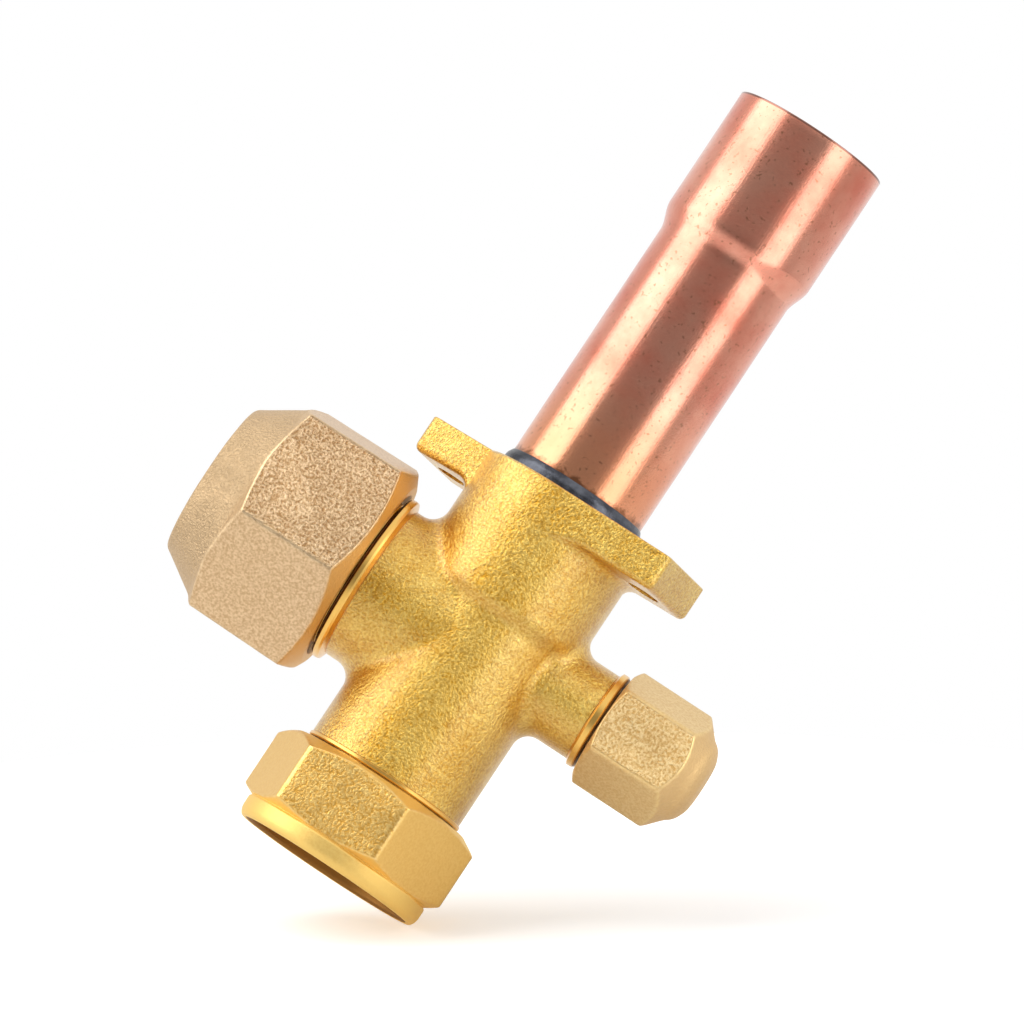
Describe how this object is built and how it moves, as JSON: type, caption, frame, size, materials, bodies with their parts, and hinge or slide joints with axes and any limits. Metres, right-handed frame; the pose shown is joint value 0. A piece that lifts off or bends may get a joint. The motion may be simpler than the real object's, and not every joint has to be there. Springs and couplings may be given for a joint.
{
  "type": "refrigerant service valve",
  "caption": "Brass refrigerant service valve: copper stub tube, hex-capped stem, flare nut port, capped charging port and a two-ear mounting flange.",
  "frame": {"origin": "centre of the mounting flange's tube-side face, on the stem axis", "axes": "+Z along the stem axis towards the copper tube; the flare port looks along -X and the charging port along +X; the two flange ears are turned 21 degrees clockwise about Z from the X axis"},
  "size_m": [0.0733, 0.0328, 0.1113],
  "materials": {
    "forged_brass": "blasted forging, bright golden, fine wrinkled grain",
    "nut_brass": "matte tan brass with sparkling grain and worn edges",
    "stem_brass": "turned, polished",
    "copper": "drawn copper, satin polish",
    "braze_metal": "dark oxidised braze metal",
    "spring_steel": "plated spring steel",
    "seal_rubber": "matt black",
    "seal_plastic": "off-white seal plastic"
  },
  "bodies": {
    "valve": {"valve_body": "forged_brass", "stub_tube": "copper", "braze_ring": "braze_metal", "stem_retaining_ring": "spring_steel", "core_plug": "stem_brass", "core_barrel": "stem_brass", "core_gasket": "seal_plastic", "core_spring": "spring_steel"},
    "cap_gasket": {"stem_cap_gasket": "seal_plastic"},
    "stem_cap": {"stem_cap": "nut_brass"},
    "flare_blank": {"flare_blank": "copper"},
    "flare_nut": {"flare_nut": "nut_brass"},
    "charge_seal": {"charge_cap_seal": "seal_rubber"},
    "charge_cap": {"charge_cap": "nut_brass"},
    "stem_rings": {"stem_orings": "seal_rubber"},
    "stem": {"stem": "stem_brass", "stem_seat_seal": "seal_plastic"},
    "core_pin": {"core_pin": "spring_steel", "core_cup": "stem_brass", "core_seat": "seal_rubber"}
  },
  "joints": [
    {"name": "stem_cap_travel", "type": "slide", "parent": "valve", "child": "cap_gasket", "axis": [0, 0, -1], "range_m": [0, 0.0075]},
    {"name": "stem_cap_turn", "type": "hinge", "parent": "cap_gasket", "child": "stem_cap", "pos_m": [0, 0, -0.0428], "axis": [0, 0, -1], "range_deg": [0, 1801]},
    {"name": "flare_nut_travel", "type": "slide", "parent": "valve", "child": "flare_blank", "axis": [-1, 0, 0], "range_m": [0, 0.01089]},
    {"name": "flare_nut_turn", "type": "hinge", "parent": "flare_blank", "child": "flare_nut", "pos_m": [-0.017, 0, -0.0222], "axis": [-1, 0, 0], "range_deg": [0, 2161]},
    {"name": "charge_cap_travel", "type": "slide", "parent": "valve", "child": "charge_seal", "axis": [1, 0, 0], "range_m": [0, 0.00889]},
    {"name": "charge_cap_turn", "type": "hinge", "parent": "charge_seal", "child": "charge_cap", "pos_m": [0.0192, 0, -0.0211], "axis": [1, 0, 0], "range_deg": [0, 2521]},
    {"name": "stem_travel", "type": "slide", "parent": "valve", "child": "stem_rings", "axis": [0, 0, -1], "range_m": [0, 0.0055]},
    {"name": "stem_turn", "type": "hinge", "parent": "stem_rings", "child": "stem", "pos_m": [0, 0, -0.0353], "axis": [0, 0, -1], "range_deg": [0, 1981]},
    {"name": "core_press", "type": "slide", "parent": "valve", "child": "core_pin", "axis": [-1, 0, 0], "range_m": [0, 0.0015], "stiffness_N_per_m": 1800, "springref_m": -0.001, "deforming": ["core_spring"]}
  ],
  "couplings": [
    {"joint": "stem_cap_turn", "follows": "stem_cap_travel", "rad_per_m": 4188.8},
    {"joint": "flare_nut_turn", "follows": "flare_nut_travel", "rad_per_m": 3463.2},
    {"joint": "charge_cap_turn", "follows": "charge_cap_travel", "rad_per_m": 4947.4},
    {"joint": "stem_turn", "follows": "stem_travel", "rad_per_m": 6283.2}
  ]
}
